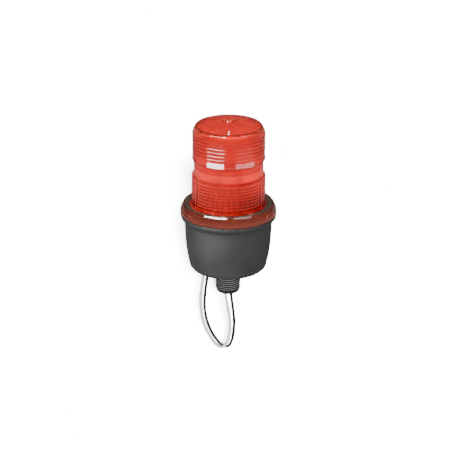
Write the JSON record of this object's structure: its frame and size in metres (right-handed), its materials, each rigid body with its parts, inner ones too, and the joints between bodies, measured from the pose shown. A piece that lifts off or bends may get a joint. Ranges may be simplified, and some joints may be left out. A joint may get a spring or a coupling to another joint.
{
  "type": "pipe-mount strobe warning light",
  "caption": "Strobe warning light with a ribbed red screw-on dome over a plug-in flash tube, a dark bowl housing, a threaded pipe nipple and supply leads.",
  "frame": {"origin": "centre of the pipe nipple's lower end, where the light screws onto its pipe", "axes": "+Z along the light's axis from the nipple up to the dome's crown; -Y towards the viewer, with the leads' ends behind the housing at +Y"},
  "size_m": [0.0816, 0.0816, 0.2181],
  "materials": {
    "red_lens": "clear red polycarbonate, polished",
    "housing_grey": "fine matte grain",
    "nipple_black": "gloss black",
    "seal_rubber": "matte black",
    "zinc_steel": "zinc plated",
    "deck_plastic": "moulded black",
    "socket_ceramic": "off-white moulded",
    "tube_glass": "clear",
    "electrode_brass": "bright",
    "trigger_nickel": "drawn wire",
    "board_green": "solder mask",
    "ferrite": "sintered grey",
    "copper_winding": "enamelled copper wire",
    "capacitor_sleeve": "shrink sleeve",
    "film_capacitor": "dipped",
    "coil_tape": "yellow tape",
    "resistor_tan": "lacquer",
    "diode_black": "moulded epoxy",
    "epoxy_black": "moulded epoxy",
    "terminal_green": "moulded",
    "wire_red": "wire insulation",
    "wire_blue": "wire insulation",
    "lead_white": "wire insulation",
    "lead_black": "wire insulation",
    "tinned_copper": "twisted tinned strands"
  },
  "bodies": {
    "base": {"housing": "housing_grey", "pipe_nipple": "nipple_black", "nipple_washer": "seal_rubber", "nipple_locknut": "zinc_steel", "lamp_deck": "deck_plastic", "deck_screw_1": "zinc_steel", "deck_screw_2": "zinc_steel", "deck_screw_3": "zinc_steel", "lamp_socket": "socket_ceramic", "circuit_board": "board_green", "board_screw_1": "zinc_steel", "board_screw_2": "zinc_steel", "board_screw_3": "zinc_steel", "transformer_core": "ferrite", "transformer_winding": "copper_winding", "flash_capacitor": "capacitor_sleeve", "trigger_coil": "coil_tape", "film_capacitor": "film_capacitor", "terminal_block": "terminal_green", "charge_resistor": "resistor_tan", "bleed_resistor": "resistor_tan", "rectifier_diode": "diode_black", "reverse_diode": "diode_black", "power_transistor": "epoxy_black", "anode_wire": "wire_red", "cathode_wire": "lead_black", "trigger_lead": "wire_blue", "inner_lead_white": "lead_white", "inner_lead_black": "lead_black", "lead_plug": "epoxy_black", "lead_white": "lead_white", "lead_black": "lead_black", "lead_white_tip": "tinned_copper", "lead_black_tip": "tinned_copper"},
    "seal": {"dome_gasket": "seal_rubber"},
    "dome": {"dome_lens": "red_lens"},
    "lamp": {"lamp_base": "socket_ceramic", "tube_anode": "electrode_brass", "tube_cathode": "electrode_brass", "flash_tube": "tube_glass", "trigger_wire": "trigger_nickel"}
  },
  "joints": [
    {"name": "dome_lift", "type": "slide", "parent": "base", "child": "seal", "axis": [0, 0, 1], "range_m": [0, 0.0045]},
    {"name": "dome_twist", "type": "hinge", "parent": "seal", "child": "dome", "pos_m": [0, 0, 0.0769], "axis": [0, 0, 1], "range_deg": [0, 495]},
    {"name": "lamp_pull", "type": "slide", "parent": "base", "child": "lamp", "axis": [0, 0, 1], "range_m": [0, 0.008]}
  ],
  "couplings": [
    {"joint": "dome_lift", "follows": "dome_twist", "m_per_rad": 0.0005093}
  ]
}
